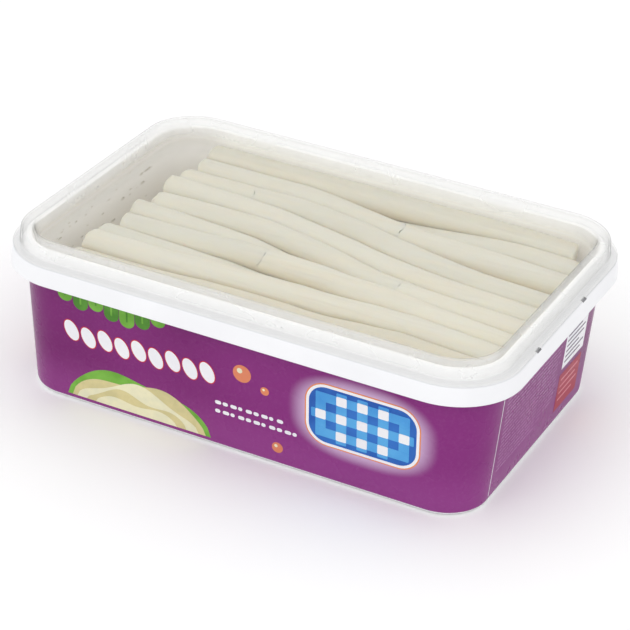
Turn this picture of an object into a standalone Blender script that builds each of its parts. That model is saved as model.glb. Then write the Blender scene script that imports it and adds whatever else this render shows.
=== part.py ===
"""A shut rectangular tub of straight string cheese sticks under a clear press-fit lid.

Frame: metres, +Z up, the origin at the middle of the tub's base, +X along the
long side. Sizes below are written in millimetres and scaled by MM.

Pieces: the white tub with its rim, the clear lid, thirteen rows of sticks that
lie lengthwise under the lid (four of them broken in two), and the packed
bundle of lower sticks that they lie on.
"""

import math

import bmesh
import bpy

MM = 0.001

# ---------------------------------------------------------------- dimensions
CORNER_STEPS = 7          # facets in each rounded corner

BASE_HALF = (90.6, 58.0)  # outside of the wall where it would meet z = 0
SHOULDER_HALF = (94.25, 62.17)  # outside of the wall at SHOULDER_Z
SHOULDER_Z = 52.0
BASE_CORNER = 16.0
SHOULDER_CORNER = 20.8
WALL = 0.9                # thin injection-moulded wall
FLOOR = 1.2
FOOT_FILLET = 2.6

SKIRT_HALF = (100.0, 67.7)  # outside of the turned-down rim
SKIRT_CORNER = 25.7
SKIRT_LOW = 50.05
SKIRT_THICK = 1.0
FLANGE_TOP = 57.2
FLANGE_THICK = 1.1
STUB_HALF = (94.2, 61.6)  # the wall's upper edge, which the lid's ridge covers
STUB_TOP = 61.0
STUB_CORNER = 19.6

LID_THICK = 0.7
LIP_HALF = (99.2, 66.9)
LIP_LOW = 57.5
RIDGE_FOOT_HALF = (96.3, 63.7)
RIDGE_HALF = (95.9, 63.3)
RIDGE_TOP = 64.4
RIDGE_CORNER = 20.4
RIDGE_ROUND = 1.5
PANEL_HALF = (89.7, 57.1)
PANEL_TOP = 57.3
PANEL_CORNER = 14.6

TAB_NOTCHES_Y = (14.6, -26.9)  # the ends of the opening tab on the +X rim
TAB_NOTCH = (2.4, 3.4)         # notch size along x and y
TAB_NOTCH_X = 99.2
TAB_NOTCH_LOW = 56.65

GAP = 0.3
LAY_GAP = 0.6            # between neighbouring sticks, which bend a little
STICK_SIDES = 2           # bevel resolution: eight-sided sticks
STICK_STEP = 11.0         # spacing of the sticks' sections
END_DRIFT = 2.4           # how far the rows swing over at their right ends
TOP_ROW = 49.0            # height of a stick's middle in the upper row
BREAK_GAP = 0.8

# Each row runs lengthwise; from the far side (+Y) to the near one (-Y):
# name, radius, lift of its middle at each station, left end, right end,
# and where it is broken (or None).
STATIONS = (-80.0, -45.0, -10.0, 25.0, 60.0, 95.0)  # evenly spaced
ROWS = (
    ("stick_a", 5.1, (1.4, 1.4, 1.4, 1.2, 1.5, 1.5), -74.5, 80.5, None),
    ("stick_b", 5.0, (-8.9, -8.9, -7.4, -3.6, 0.2, 0.4), -70.0, 86.5, None),
    ("stick_c", 5.2, (0.2, 0.2, 0.2, -0.2, 0.0, -0.4), -73.5, 91.4, 15.5),
    ("stick_d", 5.0, (-9.2, -9.2, -9.2, -8.2, -6.0, -5.6), -70.0, 90.0, None),
    ("stick_e", 5.2, (0.0, 0.2, 0.9, 0.6, 0.3, 0.6), -75.0, 87.5, -44.0),
    ("stick_f", 5.3, (1.4, 0.8, -1.0, -1.2, -0.2, 0.0), -75.5, 91.6, None),
    ("stick_g", 5.1, (-0.6, 0.3, -0.1, -1.4, 0.1, 0.5), -75.0, 91.4, 33.0),
    ("stick_h", 5.0, (0.2, -1.2, -4.6, -8.2, -9.2, -9.2), -78.0, 90.0, None),
    ("stick_i", 5.1, (-0.8, 0.0, 1.2, 1.2, 0.8, 0.4), -76.0, 91.6, -17.0),
    ("stick_j", 5.0, (-0.8, -1.8, -4.6, -6.8, -9.2, -9.2), -79.0, 89.5, None),
    ("stick_k", 5.4, (1.4, 1.2, 0.8, 0.8, 1.0, 0.6), -77.5, 91.0, None),
    ("stick_l", 5.2, (-1.0, -1.0, -1.0, -1.4, 0.2, 0.4), -78.0, 89.5, None),
    ("stick_m", 4.8, (-5.4, -5.6, -5.6, -5.0, -4.8, -4.8), -76.0, 79.5, None),
)

BED_LEFT = -73.0          # the lower bundle's mean ends
BED_RIGHT = 84.0
BED_CREST = 43.9
BED_COLUMNS = 38
BED_SECTIONS = 17


# ------------------------------------------------------------------- helpers
def clear_scene():
    for obj in list(bpy.data.objects):
        bpy.data.objects.remove(obj, do_unlink=True)


def collection(name):
    made = bpy.data.collections.new(name)
    bpy.context.scene.collection.children.link(made)
    return made


def principled(name, colour, roughness, metallic=0.0, transmission=0.0):
    material = bpy.data.materials.new(name)
    material.use_nodes = True
    shader = material.node_tree.nodes["Principled BSDF"]
    shader.inputs["Base Color"].default_value = (*colour, 1.0)
    shader.inputs["Roughness"].default_value = roughness
    shader.inputs["Metallic"].default_value = metallic
    shader.inputs["Transmission Weight"].default_value = transmission
    return material


def finish(obj, home, material, angle=35.0):
    home.objects.link(obj)
    obj.data.materials.append(material)
    if obj.type == "MESH":
        obj.data.shade_smooth()
        obj.data.set_sharp_from_angle(angle=math.radians(angle))
    return obj


def rounded_ring(half, radius, z):
    """One level of a rounded rectangle, anticlockwise from the +X side."""
    hx, hy = half
    points = []
    for quarter, (sx, sy) in enumerate(((1, 1), (-1, 1), (-1, -1), (1, -1))):
        for step in range(CORNER_STEPS + 1):
            turn = math.radians(90.0 * (quarter + step / CORNER_STEPS))
            points.append(
                (
                    (sx * (hx - radius) + radius * math.cos(turn)) * MM,
                    (sy * (hy - radius) + radius * math.sin(turn)) * MM,
                    z * MM,
                )
            )
    return points


def loft(name, rings):
    """A closed body through unlike rounded rectangles, flat at its first and last ring."""
    mesh_data = bmesh.new()
    levels = [[mesh_data.verts.new(point) for point in ring] for ring in rings]
    count = len(levels[0])
    for low, high in zip(levels, levels[1:]):
        for k in range(count):
            after = (k + 1) % count
            mesh_data.faces.new((low[k], low[after], high[after], high[k]))
    mesh_data.faces.new(list(reversed(levels[0])))
    mesh_data.faces.new(levels[-1])
    bmesh.ops.recalc_face_normals(mesh_data, faces=mesh_data.faces)
    mesh = bpy.data.meshes.new(name)
    mesh_data.to_mesh(mesh)
    mesh_data.free()
    return bpy.data.objects.new(name, mesh)


def grown(half, amount):
    return (half[0] + amount, half[1] + amount)


# ----------------------------------------------------------------------- tub
def wall_half(z, inset=0.0):
    """Half sizes of the drafted wall at a height."""
    share = z / SHOULDER_Z
    return tuple(
        low + (high - low) * share - inset
        for low, high in zip(BASE_HALF, SHOULDER_HALF)
    )


def wall_corner(z, inset=0.0):
    return BASE_CORNER + (SHOULDER_CORNER - BASE_CORNER) * z / SHOULDER_Z - inset


def room(x, z):
    """Half width inside the tub at a height, less near the rounded corners."""
    hx, hy = wall_half(z, WALL)
    radius = wall_corner(z, WALL)
    past = min(max(0.0, abs(x) + 1.0 - (hx - radius)), radius - 0.5)
    return hy - radius + math.sqrt(radius * radius - past * past)


def tub_rings():
    rings = []

    def level(half, radius, z):
        rings.append(rounded_ring(half, radius, z))

    # outside, from the foot up
    for turn in (0.0, 30.0, 60.0, 90.0):
        inset = FOOT_FILLET * (1.0 - math.sin(math.radians(turn)))
        z = FOOT_FILLET * (1.0 - math.cos(math.radians(turn)))
        level(wall_half(z, inset), wall_corner(z, inset), z)
    under = FLANGE_TOP - FLANGE_THICK
    level(wall_half(under - 0.8), wall_corner(under - 0.8), under - 0.8)
    level(grown(wall_half(under), 0.8), wall_corner(under, -0.8), under)
    # the turned-down skirt
    inner = grown(SKIRT_HALF, -SKIRT_THICK)
    level(grown(inner, -0.7), SKIRT_CORNER - SKIRT_THICK - 0.7, under)
    level(inner, SKIRT_CORNER - SKIRT_THICK, under - 0.7)
    level(inner, SKIRT_CORNER - SKIRT_THICK, SKIRT_LOW + 0.2)
    level(grown(SKIRT_HALF, -0.5), SKIRT_CORNER - 0.5, SKIRT_LOW)
    level(SKIRT_HALF, SKIRT_CORNER, SKIRT_LOW + 0.35)
    level(grown(SKIRT_HALF, -0.75), SKIRT_CORNER - 0.75, FLANGE_TOP - 0.7)
    level(grown(SKIRT_HALF, -1.0), SKIRT_CORNER - 1.0, FLANGE_TOP - 0.25)
    level(grown(SKIRT_HALF, -1.5), SKIRT_CORNER - 1.5, FLANGE_TOP)
    # the flange's top and the stub that the lid covers
    level(grown(STUB_HALF, 0.9), STUB_CORNER + 0.9, FLANGE_TOP)
    level(grown(STUB_HALF, 0.1), STUB_CORNER + 0.1, FLANGE_TOP + 0.8)
    level(STUB_HALF, STUB_CORNER, STUB_TOP - 0.35)
    level(grown(STUB_HALF, -0.35), STUB_CORNER - 0.35, STUB_TOP)
    level(grown(STUB_HALF, -1.7), STUB_CORNER - 1.7, STUB_TOP)
    level(grown(STUB_HALF, -2.05), STUB_CORNER - 2.05, STUB_TOP - 0.35)
    # inside, down to the floor
    level(grown(STUB_HALF, -1.0), STUB_CORNER - 1.0, FLANGE_TOP - 1.0)
    level(wall_half(SHOULDER_Z, WALL), wall_corner(SHOULDER_Z, WALL), SHOULDER_Z)
    for turn in (90.0, 45.0, 0.0):
        inset = WALL + 2.0 * (1.0 - math.sin(math.radians(turn)))
        z = FLOOR + 2.0 * (1.0 - math.cos(math.radians(turn)))
        level(wall_half(z, inset), wall_corner(z, inset), z)
    return rings


def lid_rings():
    rings = []

    def level(half, radius, z):
        rings.append(rounded_ring(half, radius, z))

    def rounding(half, corner, top, radius, turns):
        """A rounded edge between a side wall at `half` and a top at `top`."""
        for turn in turns:
            side = radius * (1.0 - math.cos(math.radians(turn)))
            rise = radius * (1.0 - math.sin(math.radians(turn)))
            level(grown(half, -side), corner - side, top - rise)

    t = LID_THICK
    # the upper side, from the panel outwards
    level(PANEL_HALF, PANEL_CORNER, PANEL_TOP)
    level(grown(PANEL_HALF, 0.6), PANEL_CORNER + 0.6, PANEL_TOP + 0.4)
    level(grown(PANEL_HALF, 1.2), PANEL_CORNER + 1.2, RIDGE_TOP - 1.4)
    level(grown(PANEL_HALF, 1.6), PANEL_CORNER + 1.6, RIDGE_TOP - 0.4)
    level(grown(PANEL_HALF, 2.4), PANEL_CORNER + 2.4, RIDGE_TOP)
    rounding(RIDGE_HALF, RIDGE_CORNER, RIDGE_TOP, RIDGE_ROUND, (90.0, 60.0, 30.0, 0.0))
    lip_top = LIP_LOW + t
    level(RIDGE_FOOT_HALF, RIDGE_CORNER + 0.4, lip_top + 0.5)
    level(grown(RIDGE_FOOT_HALF, 0.5), RIDGE_CORNER + 0.9, lip_top)
    level(grown(LIP_HALF, -0.3), SKIRT_CORNER - 0.7, lip_top)
    level(LIP_HALF, SKIRT_CORNER - 0.4, lip_top - 0.3)
    level(grown(LIP_HALF, -0.1), SKIRT_CORNER - 0.5, LIP_LOW)
    # the underside, back inwards
    level(grown(RIDGE_FOOT_HALF, -t + 0.5), RIDGE_CORNER - t + 0.9, LIP_LOW)
    level(grown(RIDGE_FOOT_HALF, -t), RIDGE_CORNER - t + 0.4, LIP_LOW + 0.5)
    rounding(
        grown(RIDGE_HALF, -t), RIDGE_CORNER - t, RIDGE_TOP - t, RIDGE_ROUND - t,
        (0.0, 45.0, 90.0),
    )
    level(grown(PANEL_HALF, 2.4), PANEL_CORNER + 2.4, RIDGE_TOP - t)
    level(grown(PANEL_HALF, 1.2 + t), PANEL_CORNER + 1.2 + t, RIDGE_TOP - 1.4 - t)
    level(grown(PANEL_HALF, 0.6 + t), PANEL_CORNER + 0.6 + t, PANEL_TOP - 0.4)
    level(grown(PANEL_HALF, 0.2), PANEL_CORNER + 0.2, PANEL_TOP - t - 0.1)
    return rings


def cut_tab_notches(tub, cutters):
    """Two small notches in the rim's upper edge, at the ends of the opening tab."""
    for number, y in enumerate(TAB_NOTCHES_Y):
        bpy.ops.mesh.primitive_cube_add(
            size=1.0, location=(TAB_NOTCH_X * MM, y * MM, (TAB_NOTCH_LOW + 1.0) * MM)
        )
        cutter = bpy.context.object
        cutter.name = f"cut_notch_{number}"
        cutter.scale = (TAB_NOTCH[0] * MM, TAB_NOTCH[1] * MM, 2.0 * MM)
        for home in list(cutter.users_collection):
            home.objects.unlink(cutter)
        cutters.objects.link(cutter)
        cutter.hide_render = True
        cutter.display_type = "WIRE"
        cut = tub.modifiers.new(f"notch_{number}", "BOOLEAN")
        cut.operation = "DIFFERENCE"
        cut.solver = "EXACT"
        cut.object = cutter


# -------------------------------------------------------------------- sticks
def eased(values, x):
    """A smooth curve through the values at the stations, level beyond the ends."""
    last = len(STATIONS) - 1
    place = (x - STATIONS[0]) / (STATIONS[1] - STATIONS[0])
    place = min(max(place, 0.0), last - 1e-6)
    k = int(place)
    t = place - k
    before, here = values[max(k - 1, 0)], values[k]
    there, after = values[k + 1], values[min(k + 2, last)]
    return 0.5 * (
        2.0 * here
        + (there - before) * t
        + (2.0 * before - 5.0 * here + 4.0 * there - after) * t * t
        + (3.0 * here - before - 3.0 * there + after) * t * t * t
    )


def lay_rows(x):
    """(y, z, radius) of every row at x: each stick lies against those laid before it."""
    laid = []
    for _, radius, lifts, _, _, _ in ROWS:
        z = TOP_ROW + eased(lifts, x)
        if not laid:
            y = room(0.0, z - radius) - GAP - radius
            y -= END_DRIFT * (max(0.0, x - 35.0) / 50.0) ** 2
        else:
            y = laid[-1][0]
            nearest = []
            for other_y, other_z, other_radius in laid[-3:]:
                reach = radius + other_radius + LAY_GAP
                rise = abs(z - other_z)
                across = math.sqrt(max(reach * reach - rise * rise, 0.0))
                nearest.append(other_y - across)
            y = min(nearest)
        laid.append((y, z, radius))
    return laid


def stick(name, row, start, end, home, material):
    """One stick: a round bar along its row's path, with square-cut ends."""
    first = math.floor(start / STICK_STEP) + 1
    last = math.ceil(end / STICK_STEP) - 1
    inner = [k * STICK_STEP for k in range(first, last + 1)]
    inner = [x for x in inner if x - start > 4.0 and end - x > 4.0]
    path = []
    for x in [start, *inner, end]:
        y, z, radius = lay_rows(x)[row]
        path.append((x * MM, y * MM, z * MM))
    curve = bpy.data.curves.new(name, "CURVE")
    curve.dimensions = "3D"
    curve.bevel_depth = ROWS[row][1] * MM
    curve.bevel_resolution = STICK_SIDES
    curve.use_fill_caps = True
    spline = curve.splines.new("POLY")
    spline.points.add(len(path) - 1)
    for point, place in zip(spline.points, path):
        point.co = (*place, 1.0)
    return finish(bpy.data.objects.new(name, curve), home, material)


# --------------------------------------------------------------- lower bundle
def bundle_top(x, y):
    """Height of the lower sticks: ridges and valleys, kept under the rows above."""
    height = BED_CREST + 0.9 * math.cos(2.0 * math.pi * y / 10.4 + x / 60.0)
    clear = GAP + 0.5
    for near_x in (x - 5.0, x, x + 5.0):
        for row_y, row_z, radius in lay_rows(near_x):
            reach = radius + clear
            for near_y in (y - 3.2, y - 1.6, y, y + 1.6, y + 3.2):
                across = abs(near_y - row_y)
                if across < reach:
                    under = row_z - math.sqrt(reach * reach - across * across)
                    height = min(height, under)
    return height


def lower_bundle(home, material):
    """The packed lower sticks as one solid out to their uneven outline."""
    body = bmesh.new()
    top_rows = []
    side_levels = (24.0, 6.5, FLOOR + GAP)
    low_inset = (0.0, 0.0, 2.4)
    near, far, ends = [], [], []
    for section in range(BED_SECTIONS):
        along = section / (BED_SECTIONS - 1)
        top_row = []
        for column in range(BED_COLUMNS):
            across = column / (BED_COLUMNS - 1) * 2.0 - 1.0
            edge = room(0.0, BED_CREST - 4.0) - GAP - 0.4
            y = edge * across
            left = BED_LEFT + 1.6 * math.sin(y / 3.3) + 4.0 * max(0.0, abs(across) - 0.8)
            right = BED_RIGHT + 1.6 * math.cos(y / 4.1) - 30.0 * max(0.0, abs(across) - 0.8)
            x = left + (right - left) * along
            top_row.append(body.verts.new((x * MM, y * MM, bundle_top(x, y) * MM)))
        top_rows.append(top_row)
        for side, store in ((-1, near), (1, far)):
            corner = top_row[0] if side < 0 else top_row[-1]
            down = [corner]
            for z, inset in zip(side_levels, low_inset):
                y = side * (wall_half(z, WALL)[1] - GAP - 0.4 - inset)
                down.append(body.verts.new((corner.co.x, y * MM, z * MM)))
            store.append(down)
    for low, high in zip(top_rows, top_rows[1:]):
        for a, b, c, d in zip(low, low[1:], high[1:], high):
            body.faces.new((a, b, c, d))
    for store in (near, far):
        for low, high in zip(store, store[1:]):
            for a, b, c, d in zip(low, low[1:], high[1:], high):
                body.faces.new((a, b, c, d))
    # uneven ends, made of upright strips down to the floor
    floors = []
    for top_row, down_near, down_far in (
        (top_rows[0], near[0], far[0]),
        (top_rows[-1], near[-1], far[-1]),
    ):
        foot = [down_near[-1]]
        for vert in top_row[1:-1]:
            share = down_near[-1].co.y / top_row[0].co.y
            foot.append(
                body.verts.new((vert.co.x, vert.co.y * share, down_near[-1].co.z))
            )
        foot.append(down_far[-1])
        floors.append(foot)
        for k in range(1, len(top_row) - 2):
            body.faces.new((top_row[k], top_row[k + 1], foot[k + 1], foot[k]))
        body.faces.new((top_row[0], top_row[1], foot[1], *reversed(down_near[1:])))
        body.faces.new((top_row[-1], top_row[-2], foot[-2], *reversed(down_far[1:])))
    outline = list(floors[0])
    outline += [down[-1] for down in far[1:-1]]
    outline += list(reversed(floors[1]))
    outline += [down[-1] for down in reversed(near[1:-1])]
    body.faces.new(outline)
    bmesh.ops.triangulate(body, faces=body.faces)
    bmesh.ops.recalc_face_normals(body, faces=body.faces)
    mesh = bpy.data.meshes.new("stick_bundle")
    body.to_mesh(mesh)
    body.free()
    return finish(bpy.data.objects.new("stick_bundle", mesh), home, material)


# ---------------------------------------------------------------------- build
def build():
    clear_scene()
    parts = collection("string_cheese_tub")
    cutters = collection("string_cheese_tub_cutters")

    white = principled("tub_white", (0.88, 0.88, 0.90), 0.35)
    clear = principled("lid_clear", (0.93, 0.95, 0.95), 0.12, transmission=0.9)
    tub = finish(loft("tub", tub_rings()), parts, white)
    finish(loft("lid", lid_rings()), parts, clear)
    cut_tab_notches(tub, cutters)

    for row, (name, _, _, left, right, broken) in enumerate(ROWS):
        cheese = principled(name + "_cheese", (0.86, 0.83, 0.70 - 0.004 * row), 0.5)
        if broken is None:
            stick(name, row, left, right, parts, cheese)
            continue
        stick(name + "_left", row, left, broken - BREAK_GAP / 2.0, parts, cheese)
        second = principled(name + "_right_cheese", (0.88, 0.85, 0.73), 0.5)
        stick(name + "_right", row, broken + BREAK_GAP / 2.0, right, parts, second)
    lower_bundle(parts, principled("bundle_cheese", (0.80, 0.76, 0.62), 0.55))


build()
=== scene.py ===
"""The looks of a shut rectangular tub of straight string cheese sticks.

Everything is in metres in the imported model's frame: origin in the middle of the
base, +X along the long side, +Z up. Sizes are written in millimetres and scaled
by MM. The tub, its printed label, the clear lid and every stick are made here
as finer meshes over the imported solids, which they replace.
"""

import math

import bmesh
import bpy
import numpy as np
from mathutils import Matrix, Vector


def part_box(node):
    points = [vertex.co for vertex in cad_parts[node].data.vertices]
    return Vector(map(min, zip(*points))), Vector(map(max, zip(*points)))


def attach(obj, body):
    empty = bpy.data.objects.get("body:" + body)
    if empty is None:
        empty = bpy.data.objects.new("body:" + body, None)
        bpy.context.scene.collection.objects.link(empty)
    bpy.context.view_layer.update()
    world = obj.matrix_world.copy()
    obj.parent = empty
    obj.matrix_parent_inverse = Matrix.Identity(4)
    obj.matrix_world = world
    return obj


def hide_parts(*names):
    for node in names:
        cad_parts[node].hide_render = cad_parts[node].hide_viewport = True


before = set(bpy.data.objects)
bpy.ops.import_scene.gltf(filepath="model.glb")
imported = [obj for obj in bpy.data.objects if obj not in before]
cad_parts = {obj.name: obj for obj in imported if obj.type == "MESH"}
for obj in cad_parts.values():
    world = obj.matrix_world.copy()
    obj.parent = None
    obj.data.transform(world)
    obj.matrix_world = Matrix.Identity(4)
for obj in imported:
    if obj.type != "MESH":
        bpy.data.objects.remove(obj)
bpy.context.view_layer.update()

MM = 0.001
TUB_LOW, TUB_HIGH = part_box("tub")

# ------------------------------------------------- sizes shared with the solids
BASE_HALF = (90.6, 58.0)
SHOULDER_HALF = (94.25, 62.17)
SHOULDER_Z = 52.0
BASE_CORNER = 16.0
SHOULDER_CORNER = 20.8
WALL = 0.9
FLOOR = 1.2
FOOT_FILLET = 2.6
SKIRT_HALF = (100.0, 67.7)
SKIRT_CORNER = 25.7
SKIRT_LOW = 50.05
FLANGE_TOP = 57.2
FLANGE_THICK = 1.1
STUB_HALF = (94.2, 61.6)
STUB_TOP = 61.0
STUB_CORNER = 19.6
LID_THICK = 0.7
LIP_HALF = (99.2, 66.9)
LIP_LOW = 57.5
RIDGE_FOOT_HALF = (96.3, 63.7)
RIDGE_HALF = (95.9, 63.3)
RIDGE_TOP = 64.4
RIDGE_CORNER = 20.4
PANEL_HALF = (89.7, 57.1)
PANEL_TOP = 57.3
PANEL_CORNER = 14.6
TAB_NOTCHES_Y = (14.6, -26.9)
TAB_NOTCH = (2.4, 3.4)
TAB_NOTCH_X = 99.2
TAB_NOTCH_LOW = 56.65

GAP = 0.3
LAY_GAP = 0.6
END_DRIFT = 2.4
TOP_ROW = 49.0
BREAK_GAP = 0.8
STATIONS = (-80.0, -45.0, -10.0, 25.0, 60.0, 95.0)
ROWS = (
    ("stick_a", 5.1, (1.4, 1.4, 1.4, 1.2, 1.5, 1.5), -74.5, 80.5, None),
    ("stick_b", 5.0, (-8.9, -8.9, -7.4, -3.6, 0.2, 0.4), -70.0, 86.5, None),
    ("stick_c", 5.2, (0.2, 0.2, 0.2, -0.2, 0.0, -0.4), -73.5, 91.4, 15.5),
    ("stick_d", 5.0, (-9.2, -9.2, -9.2, -8.2, -6.0, -5.6), -70.0, 90.0, None),
    ("stick_e", 5.2, (0.0, 0.2, 0.9, 0.6, 0.3, 0.6), -75.0, 87.5, -44.0),
    ("stick_f", 5.3, (1.4, 0.8, -1.0, -1.2, -0.2, 0.0), -75.5, 91.6, None),
    ("stick_g", 5.1, (-0.6, 0.3, -0.1, -1.4, 0.1, 0.5), -75.0, 91.4, 33.0),
    ("stick_h", 5.0, (0.2, -1.2, -4.6, -8.2, -9.2, -9.2), -78.0, 90.0, None),
    ("stick_i", 5.1, (-0.8, 0.0, 1.2, 1.2, 0.8, 0.4), -76.0, 91.6, -17.0),
    ("stick_j", 5.0, (-0.8, -1.8, -4.6, -6.8, -9.2, -9.2), -79.0, 89.5, None),
    ("stick_k", 5.4, (1.4, 1.2, 0.8, 0.8, 1.0, 0.6), -77.5, 91.0, None),
    ("stick_l", 5.2, (-1.0, -1.0, -1.0, -1.4, 0.2, 0.4), -78.0, 89.5, None),
    ("stick_m", 4.8, (-5.4, -5.6, -5.6, -5.0, -4.8, -4.8), -76.0, 79.5, None),
)

# ------------------------------------------------------------ finer mesh detail
CORNER_STEPS = 20
ROUND_STEPS = 5
STICK_SIDES = 48
STICK_STEP = 1.3
LOWER_SIDES = 20
LOWER_STEP = 4.0
LOWER_RADIUS = 4.9
LOWER_LAYERS = (39.4, 30.4, 21.4, 12.4)
CORE_TOP = 25.0


# --------------------------------------------------------------------- helpers
def new_object(name, vertices, faces, sharp=35.0):
    mesh = bpy.data.meshes.new(name)
    mesh.from_pydata(np.asarray(vertices, float).tolist(), [], faces)
    mesh.update()
    obj = bpy.data.objects.new(name, mesh)
    bpy.context.scene.collection.objects.link(obj)
    mesh.shade_smooth()
    if sharp is not None:
        mesh.set_sharp_from_angle(angle=math.radians(sharp))
    return obj


def rounded_ring(hx, hy, radius, z, steps=CORNER_STEPS):
    """One level of a rounded rectangle, anticlockwise, in millimetres."""
    points = []
    for quarter, (sx, sy) in enumerate(((1, 1), (-1, 1), (-1, -1), (1, -1))):
        turn = np.radians(90.0 * (quarter + np.arange(steps + 1) / steps))
        ring = np.empty((steps + 1, 3))
        ring[:, 0] = sx * (hx - radius) + radius * np.cos(turn)
        ring[:, 1] = sy * (hy - radius) + radius * np.sin(turn)
        ring[:, 2] = z
        points.append(ring)
    return np.concatenate(points)


def softened(levels, steps=ROUND_STEPS):
    """Rounds each level (hx, hy, corner, z, fillet) into its neighbours by a small curve."""
    points = [np.array(level[:4], float) for level in levels]
    fillets = [level[4] for level in levels]
    made = []
    for k, (point, fillet) in enumerate(zip(points, fillets)):
        if fillet <= 0.0 or k in (0, len(points) - 1):
            made.append(point)
            continue
        before, after = points[k - 1] - point, points[k + 1] - point
        reach = []
        for leg, other in ((before, fillets[k - 1]), (after, fillets[k + 1])):
            length = math.hypot(leg[0], leg[3])
            share = fillet / (fillet + other) if fillet + other > length else 1.0
            reach.append(leg / max(length, 1e-9) * min(fillet, length * share * 0.98))
        for t in np.linspace(0.0, 1.0, steps + 1):
            made.append(
                point + (1.0 - t) ** 2 * reach[0] + t * t * reach[1]
            )
    return made


def loft(name, levels, tags=None, sharp=35.0):
    """A closed body through rounded rectangles, flat at its first and last."""
    rings = [rounded_ring(*level) for level in levels]
    count = len(rings[0])
    vertices = np.concatenate(rings) * MM
    faces = []
    for k in range(len(rings) - 1):
        low, high = k * count, (k + 1) * count
        for j in range(count):
            after = (j + 1) % count
            faces.append((low + j, low + after, high + after, high + j))
    faces.append(tuple(reversed(range(count))))
    last = (len(rings) - 1) * count
    faces.append(tuple(range(last, last + count)))
    return new_object(name, vertices, faces, sharp)


def recalc(obj):
    body = bmesh.new()
    body.from_mesh(obj.data)
    bmesh.ops.recalc_face_normals(body, faces=body.faces)
    body.to_mesh(obj.data)
    body.free()


def grown(half, amount):
    return (half[0] + amount, half[1] + amount)


def wall_half(z, inset=0.0):
    share = z / SHOULDER_Z
    return tuple(
        low + (high - low) * share - inset
        for low, high in zip(BASE_HALF, SHOULDER_HALF)
    )


def wall_corner(z, inset=0.0):
    return BASE_CORNER + (SHOULDER_CORNER - BASE_CORNER) * z / SHOULDER_Z - inset


def room(x, z):
    """Half width inside the tub at a height, less near the rounded corners."""
    hx, hy = wall_half(z, WALL)
    radius = wall_corner(z, WALL)
    past = min(max(0.0, abs(x) + 1.0 - (hx - radius)), radius - 0.5)
    return hy - radius + math.sqrt(radius * radius - past * past)


def wall_point(side, u, z, off):
    """A point `off` mm outside a flat part of the wall: u runs to the right as seen from outside."""
    hx, hy = wall_half(z)
    if side == "front":
        return (u, -(hy + off), z)
    if side == "back":
        return (-u, hy + off, z)
    if side == "right":
        return (hx + off, u, z)
    return (-(hx + off), -u, z)


# ------------------------------------------------------------- node materials
class Nodes:
    """A material's node tree, with short calls for the nodes used here."""

    def __init__(self, name):
        self.material = bpy.data.materials.new(name)
        self.material.use_nodes = True
        self.tree = self.material.node_tree
        self.tree.nodes.clear()
        self.out = self.tree.nodes.new("ShaderNodeOutputMaterial")
        self.where = self.tree.nodes.new("ShaderNodeTexCoord").outputs["Object"]

    def add(self, kind, **settings):
        node = self.tree.nodes.new(kind)
        for key, value in settings.items():
            setattr(node, key, value)
        return node

    def put(self, socket, value):
        if isinstance(value, bpy.types.NodeSocket):
            self.tree.links.new(value, socket)
        elif isinstance(value, (tuple, list)) and len(value) == 3 and socket.type == "RGBA":
            socket.default_value = (*value, 1.0)
        else:
            socket.default_value = value

    def math(self, kind, a, b=0.0, c=0.0, clamp=False):
        node = self.add("ShaderNodeMath", operation=kind, use_clamp=clamp)
        for socket, value in zip(node.inputs, (a, b, c)):
            self.put(socket, value)
        return node.outputs[0]

    def place(self, scale, shift=(0.0, 0.0, 0.0)):
        node = self.add("ShaderNodeMapping")
        self.put(node.inputs["Vector"], self.where)
        node.inputs["Scale"].default_value = scale
        node.inputs["Location"].default_value = shift
        return node.outputs[0]

    def noise(self, scale, detail=3.0, rough=0.5, at=None, warp=0.0):
        node = self.add("ShaderNodeTexNoise")
        self.put(node.inputs["Vector"], at or self.where)
        node.inputs["Scale"].default_value = scale
        node.inputs["Detail"].default_value = detail
        node.inputs["Roughness"].default_value = rough
        node.inputs["Distortion"].default_value = warp
        return node.outputs[0]

    def step(self, value, low, high, to_low=0.0, to_high=1.0, smooth=True):
        node = self.add("ShaderNodeMapRange", clamp=True)
        node.interpolation_type = "SMOOTHSTEP" if smooth else "LINEAR"
        for key, number in zip(
            ("Value", "From Min", "From Max", "To Min", "To Max"),
            (value, low, high, to_low, to_high),
        ):
            self.put(node.inputs[key], number)
        return node.outputs[0]

    def mix(self, share, a, b):
        node = self.add("ShaderNodeMix", data_type="RGBA")
        self.put(node.inputs[0], share)
        self.put(node.inputs[6], a)
        self.put(node.inputs[7], b)
        return node.outputs[2]

    def split(self):
        node = self.add("ShaderNodeSeparateXYZ")
        self.put(node.inputs[0], self.where)
        return node.outputs[0], node.outputs[1], node.outputs[2]

    def attribute(self, name):
        return self.add("ShaderNodeAttribute", attribute_name=name).outputs["Fac"]

    def bump(self, height, strength, distance, normal=None):
        node = self.add("ShaderNodeBump")
        node.inputs["Strength"].default_value = strength
        node.inputs["Distance"].default_value = distance
        self.put(node.inputs["Height"], height)
        if normal is not None:
            self.put(node.inputs["Normal"], normal)
        return node.outputs[0]

    def principled(self, colour, roughness, normal=None, **numbers):
        node = self.add("ShaderNodeBsdfPrincipled")
        self.put(node.inputs["Base Color"], colour)
        self.put(node.inputs["Roughness"], roughness)
        if normal is not None:
            self.put(node.inputs["Normal"], normal)
        for key, value in numbers.items():
            self.put(node.inputs[key.replace("_", " ")], value)
        return node.outputs[0]

    def finish(self, shader):
        self.tree.links.new(shader, self.out.inputs["Surface"])
        return self.material


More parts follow.
